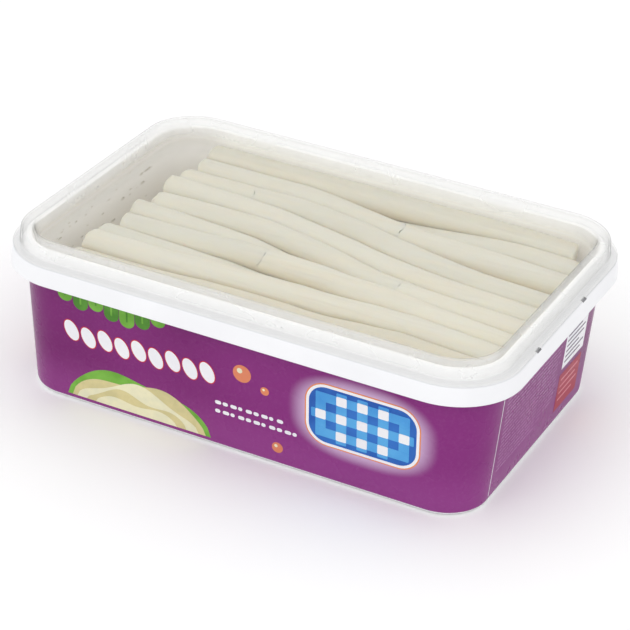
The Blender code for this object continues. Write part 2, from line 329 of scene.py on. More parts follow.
def white_plastic():
    """The tub's white polypropylene: faint mottling, a soft moulded skin; inside, painted shade and light (lighter near
    the rim, darker and warmer low down, a faint painted glow); outside, a painted shade line under the lip, painted
    shadow in the notches and a lighter rim top.
    """
    n = Nodes("tub_white")
    x, y, z = n.split()
    mottle = n.noise(38.0, 4.0)
    streak = n.noise(1.0, 3.0, at=n.place((14.0, 14.0, 420.0)))
    outside = n.mix(n.step(mottle, 0.35, 0.65), (0.815, 0.82, 0.84), (0.84, 0.845, 0.865))
    outside = n.mix(n.step(streak, 0.5, 0.75, 0.0, 0.16), outside, (0.80, 0.80, 0.83))
    # painted shade: a faint grey line round the outside just under the lid's lip, standing in for the shadow in the
    # groove there
    groove_shade = n.math("MULTIPLY", n.step(z, 0.05675, 0.05705), n.step(z, 0.05735, 0.05718))
    outside = n.mix(n.math("MULTIPLY", groove_shade, 0.5), outside, (0.56, 0.56, 0.58))
    # painted shadow: the faces of the two tab notches are coloured almost black, for the shadow in them
    cut = n.math("MULTIPLY", n.step(x, 0.0979, 0.0981), n.step(z, 0.05655, 0.05668))
    dark = 0.0
    for spot in TAB_NOTCHES_Y:
        near = n.math("ABSOLUTE", n.math("SUBTRACT", y, spot * MM))
        dark = n.math("ADD", n.step(near, 0.00178, 0.00165), dark)
    # painted light: the flange top and the rim above it are coloured lighter than the rest of the outside, making up
    # for the light the lid holds back
    outside = n.mix(n.step(z, 0.05708, 0.0573), outside, (0.955, 0.955, 0.96))
    outside = n.mix(n.math("MULTIPLY", cut, dark), outside, (0.10, 0.10, 0.11))
    # painted shade and light: inside, the wall is lighter than the outside near the rim and turns darker and warmer
    # towards the bottom, standing in for the shade deep in the tub and the warm light thrown back by the cheese
    inner_high_lit = n.mix(n.step(streak, 0.4, 0.7), (0.95, 0.945, 0.93), (0.965, 0.96, 0.95))
    inner_low_shaded = n.mix(n.step(mottle, 0.3, 0.7), (0.89, 0.85, 0.765), (0.92, 0.885, 0.81))
    inner = n.mix(n.step(z, 0.034, 0.053), inner_low_shaded, inner_high_lit)
    # painted shade: a patchy dark brown low on the inside of the right end, for the shade in the deep brine-filled gap
    # by the sticks' ends
    brine = n.noise(140.0, 3.0)
    gap_shade = n.math("MULTIPLY", n.step(x, 0.080, 0.088), n.step(z, 0.0515, 0.047))
    gap_shade = n.math("MULTIPLY", gap_shade, n.step(brine, 0.44, 0.56, 0.0, 0.7))
    inner = n.mix(gap_shade, inner, (0.52, 0.38, 0.33))
    colour = n.mix(n.attribute("inside"), outside, inner)
    fine = n.noise(1500.0, 2.0)
    skin = n.bump(fine, 0.05, 0.0001)
    wave = n.bump(n.noise(22.0, 1.0), 0.08, 0.002, skin)
    rough = n.step(n.noise(90.0, 3.0), 0.3, 0.7, 0.28, 0.36)
    # painted light: the inside of the wall glows faintly, more towards the rim, standing in for daylight coming through
    # the thin wall
    inner_glow = n.math("MULTIPLY", n.attribute("inside"), n.step(z, 0.022, 0.054, 0.05, 0.125))
    return n.finish(
        n.principled(colour, rough, wave, IOR=1.46, Emission_Color=(1.0, 0.975, 0.92), Emission_Strength=inner_glow)
    )


def glancing(n, least):
    """How much a thin clear skin mirrors: `least` face on, all at the edge, the same from both sides."""
    facing = n.add("ShaderNodeLayerWeight")
    facing.inputs["Blend"].default_value = 0.5
    return facing.outputs["Facing"], n.math(
        "ADD", n.math("MULTIPLY", n.math("POWER", facing.outputs["Facing"], 5.0), 1.0 - least), least
    )


def clear_plastic():
    """Thin clear polypropylene: clear over the panel, slightly milky in the stretched ridge, greyer edge on."""
    n = Nodes("lid_clear")
    x, y, z = n.split()
    facing, mirror = glancing(n, 0.022)
    cloud = n.noise(60.0, 4.0)
    tint = n.mix(n.step(facing, 0.45, 0.98), (0.996, 0.996, 0.994), (0.80, 0.80, 0.79))
    through = n.add("ShaderNodeBsdfTransparent")
    n.put(through.inputs["Color"], tint)
    front = n.add("ShaderNodeBsdfDiffuse")
    front.inputs["Color"].default_value = (0.985, 0.985, 0.98, 1.0)
    behind = n.add("ShaderNodeBsdfTranslucent")
    behind.inputs["Color"].default_value = (0.985, 0.985, 0.98, 1.0)
    haze = n.add("ShaderNodeMixShader")
    haze.inputs[0].default_value = 0.5
    n.put(haze.inputs[1], front.outputs[0])
    n.put(haze.inputs[2], behind.outputs[0])
    haze = haze.outputs[0]
    veil = n.add("ShaderNodeMixShader")
    flat = n.step(cloud, 0.3, 0.7, 0.010, 0.026)
    ridge = n.math("MULTIPLY", n.step(z, 0.0574, 0.0592), n.step(cloud, 0.3, 0.7, 0.21, 0.25))
    n.put(veil.inputs[0], n.math("ADD", flat, ridge))
    n.put(veil.inputs[1], through.outputs[0])
    n.put(veil.inputs[2], haze)
    wave = n.bump(n.noise(30.0, 2.0), 0.03, 0.002)
    gloss = n.add("ShaderNodeBsdfGlossy")
    n.put(gloss.inputs["Color"], n.mix(n.step(facing, 0.62, 0.92), (0.95, 0.95, 0.95), (0.50, 0.50, 0.505)))
    n.put(gloss.inputs["Roughness"], n.step(cloud, 0.3, 0.7, 0.07, 0.13))
    n.put(gloss.inputs["Normal"], wave)
    both = n.add("ShaderNodeMixShader")
    n.put(both.inputs[0], mirror)
    n.put(both.inputs[1], veil.outputs[0])
    n.put(both.inputs[2], gloss.outputs[0])
    return n.finish(both.outputs[0])


def water():
    """Small drops of brine."""
    n = Nodes("drops")
    facing, mirror = glancing(n, 0.03)
    tint = n.mix(n.step(facing, 0.2, 0.9), (0.98, 0.98, 0.96), (0.74, 0.71, 0.64))
    through = n.add("ShaderNodeBsdfTransparent")
    n.put(through.inputs["Color"], tint)
    gloss = n.add("ShaderNodeBsdfGlossy")
    n.put(gloss.inputs["Roughness"], n.step(n.noise(300.0), 0.3, 0.7, 0.03, 0.06))
    both = n.add("ShaderNodeMixShader")
    n.put(both.inputs[0], mirror)
    n.put(both.inputs[1], through.outputs[0])
    n.put(both.inputs[2], gloss.outputs[0])
    return n.finish(both.outputs[0])


def cheese(name, warm=0.0, seed=0.0):
    """Moist ivory cheese: fine fibres along the stick, cloudy milk colour, and seams and lower sides darker and warmer
    by painted shade.
    """
    n = Nodes(name)
    fibre = n.noise(1.0, 4.0, 0.55, at=n.place((22.0, 900.0, 900.0), (seed, seed, 0.0)))
    strand = n.noise(1.0, 3.0, 0.5, at=n.place((9.0, 260.0, 260.0), (0.0, seed, seed)))
    cloud = n.noise(1.0, 3.0, 0.5, at=n.place((34.0, 90.0, 90.0), (seed, 0.0, seed)))
    tone = n.attribute("tone")
    light = n.mix(tone, (0.655, 0.642, 0.545), (0.785, 0.750, 0.620))
    milky = n.mix(n.step(cloud, 0.35, 0.7, 0.0, 0.5), light, (0.730, 0.712, 0.620))
    warmer = n.mix(n.step(strand, 0.42, 0.72, 0.0, 0.5), milky, (0.765, 0.702, 0.545))
    ground = n.mix(n.step(fibre, 0.50, 0.74, 0.0, 0.30), warmer, (0.610, 0.580, 0.475))
    # painted shade: the lowest tones, given to the two sticks by the near wall, turn darker and warmer, for the shade
    # under the near rim
    ground = n.mix(n.step(tone, 0.20, 0.0, 0.0, 0.6), ground, (0.690, 0.610, 0.430))
    # painted shade: the lower a point lies on its stick, towards the seams between sticks, the darker and warmer the
    # cheese
    seam_shade = n.mix(n.attribute("shade_depth"), ground, (0.790, 0.690, 0.480))
    seam_shade = n.mix(warm, seam_shade, (0.75, 0.66, 0.47))
    height = n.math("ADD", n.math("MULTIPLY", fibre, 0.6), n.math("MULTIPLY", strand, 1.0))
    normal = n.bump(height, 0.45, 0.0005)
    rough = n.step(n.noise(160.0, 3.0), 0.3, 0.7, 0.40, 0.56)
    shader = n.add("ShaderNodeBsdfPrincipled")
    n.put(shader.inputs["Base Color"], seam_shade)
    n.put(shader.inputs["Roughness"], rough)
    n.put(shader.inputs["Normal"], normal)
    shader.inputs["Subsurface Weight"].default_value = 0.5
    shader.inputs["Subsurface Radius"].default_value = (1.0, 0.78, 0.5)
    shader.inputs["Subsurface Scale"].default_value = 0.003
    shader.inputs["IOR"].default_value = 1.42
    shader.inputs["Coat Weight"].default_value = 0.06
    shader.inputs["Coat Roughness"].default_value = 0.2
    return n.finish(shader.outputs[0])


def printed_field():
    """The label's purple field: soft lighter areas, fine print grain."""
    n = Nodes("label_purple")
    x, y, z = n.split()
    broad = n.noise(9.0, 2.0)
    grain = n.noise(900.0, 2.0)
    field = n.mix(n.step(broad, 0.35, 0.68), (0.158, 0.014, 0.126), (0.215, 0.026, 0.180))
    low = n.step(z, 0.024, 0.003, 0.0, 0.55)
    field = n.mix(low, field, (0.31, 0.065, 0.275))
    # pale glow round the checked plate on the long sides
    for side in (-1.0, 1.0):
        across = n.math("MULTIPLY", n.math("SUBTRACT", x, side * -0.050), 1.0 / 0.0248)
        up = n.math("MULTIPLY", n.math("SUBTRACT", z, 0.0285), 1.0 / 0.0155)
        reach = n.math("ADD", n.math("POWER", n.math("ABSOLUTE", across), 2.6), n.math("POWER", n.math("ABSOLUTE", up), 2.6))
        glow = n.step(reach, 1.55, 0.45, 0.0, 0.80)
        glow = n.math("MULTIPLY", glow, n.step(n.math("MULTIPLY", y, side), 0.040, 0.045))
        field = n.mix(glow, field, (0.66, 0.50, 0.70))
    field = n.mix(n.step(grain, 0.45, 0.8, 0.0, 0.06), field, (0.42, 0.20, 0.40))
    rough = n.step(n.noise(70.0, 3.0), 0.3, 0.7, 0.24, 0.33)
    skin = n.bump(n.noise(1200.0, 2.0), 0.04, 0.0001)
    wave = n.bump(n.noise(20.0, 1.0), 0.08, 0.002, skin)
    return n.finish(n.principled(field, rough, wave, IOR=1.36, Specular_IOR_Level=0.22))


def ink(name, colour, other=None, scale=45.0):
    """One printed colour, with a slow shift of shade and fine print grain."""
    n = Nodes(name)
    other = other or tuple(c * 0.86 for c in colour)
    shade = n.mix(n.step(n.noise(scale, 2.0), 0.35, 0.65), colour, other)
    shade = n.mix(n.step(n.noise(1100.0, 2.0), 0.5, 0.8, 0.0, 0.12), shade, tuple(c * 0.8 for c in colour))
    rough = n.step(n.noise(70.0, 3.0), 0.3, 0.7, 0.24, 0.34)
    return n.finish(n.principled(shade, rough, IOR=1.36, Specular_IOR_Level=0.22))


# ------------------------------------------------------------------------ tub
def tub_levels():
    levels = []

    def level(half, corner, z, fillet=0.0):
        levels.append((half[0], half[1], corner, z, fillet))

    def wall(z, inset=0.0, fillet=0.0, low=None):
        level(wall_half(z, inset), wall_corner(z, inset), z if low is None else low, fillet)

    # underside: a shallow recess inside the foot ring
    wall(0.0, 9.0, low=0.55)
    wall(0.0, 7.2, 0.6, low=0.55)
    wall(0.0, 6.4, 0.5, low=0.0)
    wall(0.0, 0.0, FOOT_FILLET)
    under = FLANGE_TOP - FLANGE_THICK
    wall(under, 0.0, 0.9)
    inner = grown(SKIRT_HALF, -1.0)
    level(inner, SKIRT_CORNER - 1.0, under, 0.8)
    level(inner, SKIRT_CORNER - 1.0, SKIRT_LOW, 0.35)
    level(SKIRT_HALF, SKIRT_CORNER, SKIRT_LOW, 0.45)
    level(grown(SKIRT_HALF, -0.85), SKIRT_CORNER - 0.85, FLANGE_TOP, 0.7)
    level(grown(STUB_HALF, 0.05), STUB_CORNER + 0.05, FLANGE_TOP, 0.9)
    level(STUB_HALF, STUB_CORNER, STUB_TOP, 0.38)
    level(grown(STUB_HALF, -2.05), STUB_CORNER - 2.05, STUB_TOP, 0.45)
    level(grown(STUB_HALF, -1.0), STUB_CORNER - 1.0, FLANGE_TOP - 1.0, 1.2)
    wall(SHOULDER_Z, WALL, 1.2)
    wall(FLOOR, WALL, 2.2)
    wall(FLOOR, WALL + 9.0)
    return levels


def cut_notches(obj):
    """The two small notches in the rim's upper edge, at the ends of the opening tab."""
    for number, y in enumerate(TAB_NOTCHES_Y):
        body = bmesh.new()
        bmesh.ops.create_cube(body, size=1.0)
        bmesh.ops.scale(
            body, vec=(TAB_NOTCH[0] * MM, TAB_NOTCH[1] * MM, 2.0 * MM), verts=body.verts
        )
        bmesh.ops.translate(
            body, vec=(TAB_NOTCH_X * MM, y * MM, (TAB_NOTCH_LOW + 1.0) * MM), verts=body.verts
        )
        mesh = bpy.data.meshes.new("notch_cutter")
        body.to_mesh(mesh)
        body.free()
        cutter = bpy.data.objects.new("notch_cutter", mesh)
        bpy.context.scene.collection.objects.link(cutter)
        cut = obj.modifiers.new("notch", "BOOLEAN")
        cut.operation = "DIFFERENCE"
        cut.object = cutter
        bpy.context.view_layer.update()
        done = bpy.data.meshes.new_from_object(
            obj.evaluated_get(bpy.context.evaluated_depsgraph_get())
        )
        obj.modifiers.clear()
        obj.data = done
        bpy.data.objects.remove(cutter)
    obj.data.shade_smooth()
    obj.data.set_sharp_from_angle(angle=math.radians(35.0))


def make_tub():
    rings = softened(tub_levels())
    obj = loft("tub_shell", rings)
    recalc(obj)
    cut_notches(obj)
    # which points lie on the inside of the wall
    co = np.empty(len(obj.data.vertices) * 3)
    obj.data.vertices.foreach_get("co", co)
    co = co.reshape(-1, 3) / MM
    inside = np.zeros(len(co))
    for k, (x, y, z) in enumerate(co):
        if z > FLANGE_TOP - 0.5:
            hx, hy, corner = *grown(STUB_HALF, -1.05), STUB_CORNER - 1.05
        else:
            hx, hy = wall_half(z, WALL * 0.5)
            corner = wall_corner(z, WALL * 0.5)
        px, py = abs(x) - (hx - corner), abs(y) - (hy - corner)
        if px > 0 and py > 0:
            out = math.hypot(px, py) - corner
        else:
            out = max(abs(x) - hx, abs(y) - hy)
        inside[k] = 1.0 if out < 0 and z > 0.9 else 0.0
    tag = obj.data.attributes.new("inside", "FLOAT", "POINT")
    tag.data.foreach_set("value", inside)
    obj.data.materials.append(white_plastic())
    return obj


# ---------------------------------------------------------------------- label
LABEL_LOW, LABEL_HIGH = 1.5, 51.0
LABEL_OUT = 0.10
INK_OUT = 0.14


def make_label():
    """A thin closed band round the wall, just outside it."""
    heights = np.concatenate(
        [np.linspace(LABEL_LOW, FOOT_FILLET, 5), np.linspace(FOOT_FILLET, LABEL_HIGH, 5)[1:]]
    )

    def foot(z):
        """How far the wall draws in at its rounded foot."""
        drop = max(0.0, FOOT_FILLET - z)
        return 0.62 * (FOOT_FILLET - math.sqrt(FOOT_FILLET**2 - drop * drop))

    levels = [(*wall_half(z, foot(z) - LABEL_OUT), wall_corner(z, foot(z) - LABEL_OUT), z) for z in heights]
    levels += [(*wall_half(z, foot(z) - 0.02), wall_corner(z, foot(z) - 0.02), z) for z in heights[::-1]]
    rings = [rounded_ring(*level) for level in levels]
    count = len(rings[0])
    faces = []
    for k in range(len(rings)):
        low, high = k * count, ((k + 1) % len(rings)) * count
        for j in range(count):
            after = (j + 1) % count
            faces.append((low + j, low + after, high + after, high + j))
    obj = new_object("label_band", np.concatenate(rings) * MM, faces, 40.0)
    recalc(obj)
    obj.data.materials.append(printed_field())
    return obj


def circle(cu, cv, radius, count=56, squeeze=1.0):
    turn = np.linspace(0.0, 2.0 * math.pi, count, endpoint=False)
    return [(cu + radius * squeeze * math.cos(t), cv + radius * math.sin(t)) for t in turn]


def bar(u0, v0, u1, v1, radius, steps=5):
    """A rounded rectangle between two corners."""
    radius = min(radius, (u1 - u0) / 2 - 1e-3, (v1 - v0) / 2 - 1e-3)
    points = []
    for quarter, (u, v) in enumerate(((u1, v1), (u0, v1), (u0, v0), (u1, v0))):
        su, sv = (1 if u == u1 else -1), (1 if v == v1 else -1)
        for step in range(steps + 1):
            turn = math.radians(90.0 * (quarter + step / steps))
            points.append(
                (u - su * radius + radius * math.cos(turn), v - sv * radius + radius * math.sin(turn))
            )
    return points


def turned(points, degrees, about):
    c, s = math.cos(math.radians(degrees)), math.sin(math.radians(degrees))
    return [
        (about[0] + (u - about[0]) * c - (v - about[1]) * s,
         about[1] + (u - about[0]) * s + (v - about[1]) * c)
        for u, v in points
    ]


def oval(cu, cv, wide, high, degrees, count=40):
    ring = [
        (cu + wide * math.cos(t), cv + high * math.sin(t))
        for t in np.linspace(0.0, 2.0 * math.pi, count, endpoint=False)
    ]
    return turned(ring, degrees, (cu, cv))


def dune(u0, u1, foot, crest, swing, waves, phase, count=44):
    """A band between a straight foot and a wavy crest that falls to nothing at both ends."""
    points = [(u1, foot), (u0, foot)][::-1]
    top = []
    for k in range(1, count):
        t = k / count
        fall = math.sin(math.pi * t) ** 0.6
        top.append((u0 + (u1 - u0) * t, foot + 0.3 + fall * (crest + swing * math.sin(waves * t + phase))))
    return [points[0], points[1]] + top[::-1]


class Print:
    """Printed shapes: thin closed patches on the wall, each in one of the inks."""

    def __init__(self):
        self.vertices, self.faces, self.slots, self.inks = [], [], [], []

    def slot(self, material):
        if material not in self.inks:
            self.inks.append(material)
        return self.inks.index(material)

    def patch(self, side, outline, material, layer=0):
        count = len(outline)
        start = len(self.vertices)
        top = INK_OUT + 0.03 * layer
        for off in (LABEL_OUT - 0.04, top):
            for u, v in outline:
                self.vertices.append(wall_point(side, u, v, off))
        slot = self.slot(material)
        rims = [(start + k, start + (k + 1) % count, start + count + (k + 1) % count, start + count + k) for k in range(count)]
        made = [tuple(start + k for k in reversed(range(count))), tuple(start + count + k for k in range(count))] + rims
        if side not in ("front", "back", "right", "left"):
            made = [tuple(reversed(face)) for face in made]
        self.faces += made
        self.slots += [slot] * len(made)

    def build(self, name):
        obj = new_object(name, np.array(self.vertices) * MM, self.faces, 30.0)
        for material in self.inks:
            obj.data.materials.append(material)
        obj.data.polygons.foreach_set("material_index", self.slots)
        recalc(obj)
        return obj


def make_print():
    white = ink("ink_white", (0.82, 0.82, 0.84), (0.78, 0.78, 0.82))
    cream = ink("ink_cream", (0.80, 0.76, 0.52), (0.72, 0.70, 0.50), 160.0)
    straw = ink("ink_straw", (0.66, 0.58, 0.30), (0.58, 0.52, 0.27), 160.0)
    blue = ink("ink_blue", (0.035, 0.16, 0.52), (0.02, 0.09, 0.38), 60.0)
    sky = ink("ink_sky", (0.10, 0.38, 0.72), (0.06, 0.28, 0.64), 60.0)
    orange = ink("ink_orange", (0.74, 0.25, 0.10), (0.66, 0.22, 0.12))
    red = ink("ink_red", (0.55, 0.035, 0.05), (0.48, 0.03, 0.06))
    green = ink("ink_green", (0.14, 0.36, 0.045), (0.20, 0.46, 0.07), 120.0)
    forest = ink("ink_forest", (0.07, 0.22, 0.03), (0.10, 0.28, 0.04), 120.0)
    lilac = ink("ink_lilac", (0.43, 0.20, 0.41), (0.37, 0.16, 0.35))
    crimson = ink("ink_crimson", (0.36, 0.014, 0.045), (0.30, 0.012, 0.04))
    rose = ink("ink_rose", (0.62, 0.22, 0.26), (0.55, 0.18, 0.22))
    dark = ink("ink_dark", (0.10, 0.07, 0.12), (0.12, 0.09, 0.14))
    page = Print()
    for side in ("front", "back"):
        # a checked plate on the pale glow
        cu, cv, wide, high, round_ = 50.0, 28.5, 20.6, 11.6, 7.0
        page.patch(side, bar(cu - wide - 1.6, cv - high - 1.6, cu + wide + 1.6, cv + high + 1.6, round_ + 1.6, 9), orange, 0)
        page.patch(side, bar(cu - wide - 1.1, cv - high - 1.1, cu + wide + 1.1, cv + high + 1.1, round_ + 1.1, 9), white, 1)
        page.patch(side, bar(cu - wide, cv - high, cu + wide, cv + high, round_, 9), blue, 2)

        def reach(at, long, short):
            """How far the plate runs the other way at this distance from its middle."""
            past = max(0.0, at - (long - round_))
            return short - round_ + math.sqrt(max(round_**2 - past**2, 0.0)) - 0.9

        for k in range(-2, 3):
            end = reach(abs(8.0 * k) + 2.0, wide, high)
            page.patch(side, bar(cu + 8.0 * k - 2.0, cv - end, cu + 8.0 * k + 2.0, cv + end, 0.4), sky, 3)
        for k in range(-1, 2):
            end = reach(abs(7.4 * k) + 1.9, high, wide)
            page.patch(side, bar(cu - end, cv + 7.4 * k - 1.9, cu + end, cv + 7.4 * k + 1.9, 0.4), sky, 4)
        for k in range(-2, 3):
            for m in range(-1, 2):
                if abs(k) == 2 and m:
                    continue
                page.patch(side, bar(cu + 8.0 * k - 2.0, cv + 7.4 * m - 1.9, cu + 8.0 * k + 2.0, cv + 7.4 * m + 1.9, 0.5), white, 5)
        # a scalloped edge that hangs under the rim
        for k in range(7):
            u, low = -69.0 + 6.4 * k, (43.4, 41.2, 42.6, 40.4, 39.6, 41.0, 43.8)[k]
            page.patch(side, bar(u - 3.1, low, u + 3.1, 50.8, 3.05, 8), (green, forest)[k % 2], 0)
            page.patch(side, bar(u - 0.35, low + 2.4, u + 0.35, 50.7, 0.3), (forest, green)[k % 2], 1)
        # a chain of slanted ovals
        for k in range(9):
            u, v = -67.0 + 7.0 * k, 30.6 + (0.7, -0.5, 0.3, -0.6, 0.5, -0.4, 0.6, -0.3, 0.4)[k]
            page.patch(side, oval(u, v, 3.05, 4.7, 24.0), red, 0)
            page.patch(side, oval(u, v, 2.7, 4.3, 24.0), white, 1)
        # two short rows of dashes
        for row, (v, high, ends) in enumerate(((19.6, 0.75, 9), (15.9, 0.75, 11))):
            for k in range(ends):
                u = -8.0 + 3.1 * k
                page.patch(side, bar(u, v - high, u + (2.5, 2.1, 2.6, 1.7)[(k + row) % 4], v + high, 0.7), white, 0)
        # low layered bands
        page.patch(side, dune(-70.0, -10.0, 3.0, 15.5, 2.6, 7.0, 0.4), green, 0)
        page.patch(side, dune(-68.0, -12.0, 3.0, 13.4, 2.4, 8.2, 1.5), straw, 1)
        page.patch(side, dune(-66.0, -15.0, 3.0, 10.6, 2.2, 9.4, 3.0), cream, 2)
        page.patch(side, dune(-62.0, -20.0, 3.0, 7.0, 1.9, 10.0, 4.6), straw, 3)
        page.patch(side, dune(-58.0, -24.0, 3.0, 4.4, 1.4, 8.0, 0.6), cream, 4)
        for u, v, size in ((3.0, 35.0, 3.6), (12.0, 30.5, 1.7), (17.0, 8.0, 2.2)):
            page.patch(side, circle(u, v, size, 44), orange, 0)
            page.patch(side, circle(u - 0.25 * size, v + 0.3 * size, 0.3 * size, 28), cream, 1)
    # the plain white line where the label's ends meet, at the near +X corner
    for side in ("right", "left"):
        page.patch(side, bar(-41.3, 2.8, -40.9, 49.6, 0.1), white, 0)
        page.patch(side, bar(16.5, 6.5, 37.5, 22.5, 0.4), crimson, 0)
        for k, end in enumerate((35.0, 33.5, 35.4, 32.0)):
            page.patch(side, bar(18.5, 19.1 - 2.9 * k, end, 19.9 - 2.9 * k, 0.3), rose, 1)
        page.patch(side, bar(17.0, 24.9, 37.5, 47.2, 0.3), white, 0)
        for k in range(9):
            end = (35.9, 34.0, 35.9, 32.0, 35.6, 35.0, 31.0, 35.9, 33.5)[k]
            page.patch(side, bar(18.7, 44.6 - 2.2 * k, end, 45.3 - 2.2 * k, 0.2), dark, 1)
        for k in range(21):
            ends = (13.0, 11.5, 13.4, 12.0, 10.0, 13.0, 12.5)
            v = 45.4 - 1.72 * k
            u, last = -37.5, ends[k % 7] if k < 19 else 1.0 - 4.0 * (k - 19)
            step = 0
            while u < last:
                dash = (3.4, 5.2, 2.4, 4.3, 6.0, 3.0, 4.8)[(step + 2 * k) % 7]
                page.patch(side, bar(u, v, min(u + dash, last), v + 0.5, 0.15, 3), lilac, 0)
                u += dash + 0.7
                step += 1
    return page.build("label_print")


# ------------------------------------------------------------------------ lid
def lid_levels():
    levels = []
    t = LID_THICK

    def level(half, corner, z, fillet=0.0):
        levels.append((half[0], half[1], corner, z, fillet))

    level(grown(PANEL_HALF, -9.0), PANEL_CORNER - 9.0, PANEL_TOP)
    level(PANEL_HALF, PANEL_CORNER, PANEL_TOP, 0.9)
    level(grown(PANEL_HALF, 1.6), PANEL_CORNER + 1.6, RIDGE_TOP, 1.4)
    level(RIDGE_HALF, RIDGE_CORNER, RIDGE_TOP, 1.6)
    lip_top = LIP_LOW + t
    level(RIDGE_FOOT_HALF, RIDGE_CORNER + 0.4, lip_top, 0.6)
    level(grown(LIP_HALF, 0.0), SKIRT_CORNER - 0.4, lip_top, 0.35)
    level(grown(LIP_HALF, -0.1), SKIRT_CORNER - 0.5, LIP_LOW, 0.15)
    level(grown(RIDGE_FOOT_HALF, -t), RIDGE_CORNER - t + 0.4, LIP_LOW, 0.5)
    level(grown(RIDGE_HALF, -t), RIDGE_CORNER - t, RIDGE_TOP - t, 1.0)
    level(grown(PANEL_HALF, 1.6 + t), PANEL_CORNER + 1.6 + t, RIDGE_TOP - t, 0.8)
    level(grown(PANEL_HALF, t), PANEL_CORNER + t, PANEL_TOP - t, 0.9)
    level(grown(PANEL_HALF, -9.0), PANEL_CORNER - 9.0, PANEL_TOP - t)
    return levels


def make_lid():
    obj = loft("lid_clear_shell", softened(lid_levels(), 7))
    recalc(obj)
    obj.data.materials.append(clear_plastic())
    return obj


# --------------------------------------------------------------------- sticks
def eased(values, x):
    last = len(STATIONS) - 1
    place = (x - STATIONS[0]) / (STATIONS[1] - STATIONS[0])
    place = min(max(place, 0.0), last - 1e-6)
    k = int(place)
    t = place - k
    before, here = values[max(k - 1, 0)], values[k]
    there, after = values[k + 1], values[min(k + 2, last)]
    return 0.5 * (
        2.0 * here
        + (there - before) * t
        + (2.0 * before - 5.0 * here + 4.0 * there - after) * t * t
        + (3.0 * here - before - 3.0 * there + after) * t * t * t
    )


def lay_rows(x):
    laid = []
    for _, radius, lifts, _, _, _ in ROWS:
        z = TOP_ROW + eased(lifts, x)
        if not laid:
            y = room(0.0, z - radius) - GAP - radius
            y -= END_DRIFT * (max(0.0, x - 35.0) / 50.0) ** 2
        else:
            nearest = []
            for other_y, other_z, other_radius in laid[-3:]:
                reach = radius + other_radius + LAY_GAP
                rise = abs(z - other_z)
                nearest.append(other_y - math.sqrt(max(reach * reach - rise * rise, 0.0)))
            y = min(nearest)
        laid.append((y, z, radius))
    return laid


GRID = np.arange(-84.0, 94.01, 1.0)
LAID = np.array([lay_rows(x) for x in GRID])  # station, row, (y, z, radius)


def row_path(row, xs):
    return (
        np.interp(xs, GRID, LAID[:, row, 0]),
        np.interp(xs, GRID, LAID[:, row, 1]),
        LAID[0, row, 2],
    )


def ripple(rng, xs, count, longest, shortest):
    """A slow random wave along the stick, between about -1 and 1."""
    total = np.zeros_like(xs)
    for _ in range(count):
        length = rng.uniform(shortest, longest)
        total += rng.uniform(0.4, 1.0) * np.sin(
            2.0 * math.pi * xs / length + rng.uniform(0.0, 2.0 * math.pi)
        )
    return total / math.sqrt(count)


def cut_shape(rng, segs, theta):
    """A clean cut: almost square, with a slight lean and a slightly fibrous rim."""
    wave = np.zeros(segs)
    for k in range(1, 10):
        wave += rng.normal() / k**0.7 * np.cos(k * theta + rng.uniform(0.0, 6.28))
    wave *= 0.16 / max(np.abs(wave).max(), 1e-6)
    return rng.uniform(-0.16, 0.16), rng.uniform(-0.16, 0.16), wave


def torn_shape(seed, segs, theta):
    """Where a stick is broken: both pieces share this slanting, ragged surface."""
    rng = np.random.default_rng(seed)
    wave = np.zeros(segs)
    for k in range(1, 12):
        wave += rng.normal() / k**0.6 * np.cos(k * theta + rng.uniform(0.0, 6.28))
    wave *= 0.9 / max(np.abs(wave).max(), 1e-6)
    return rng.uniform(-0.45, 0.45), rng.uniform(0.25, 0.5), wave


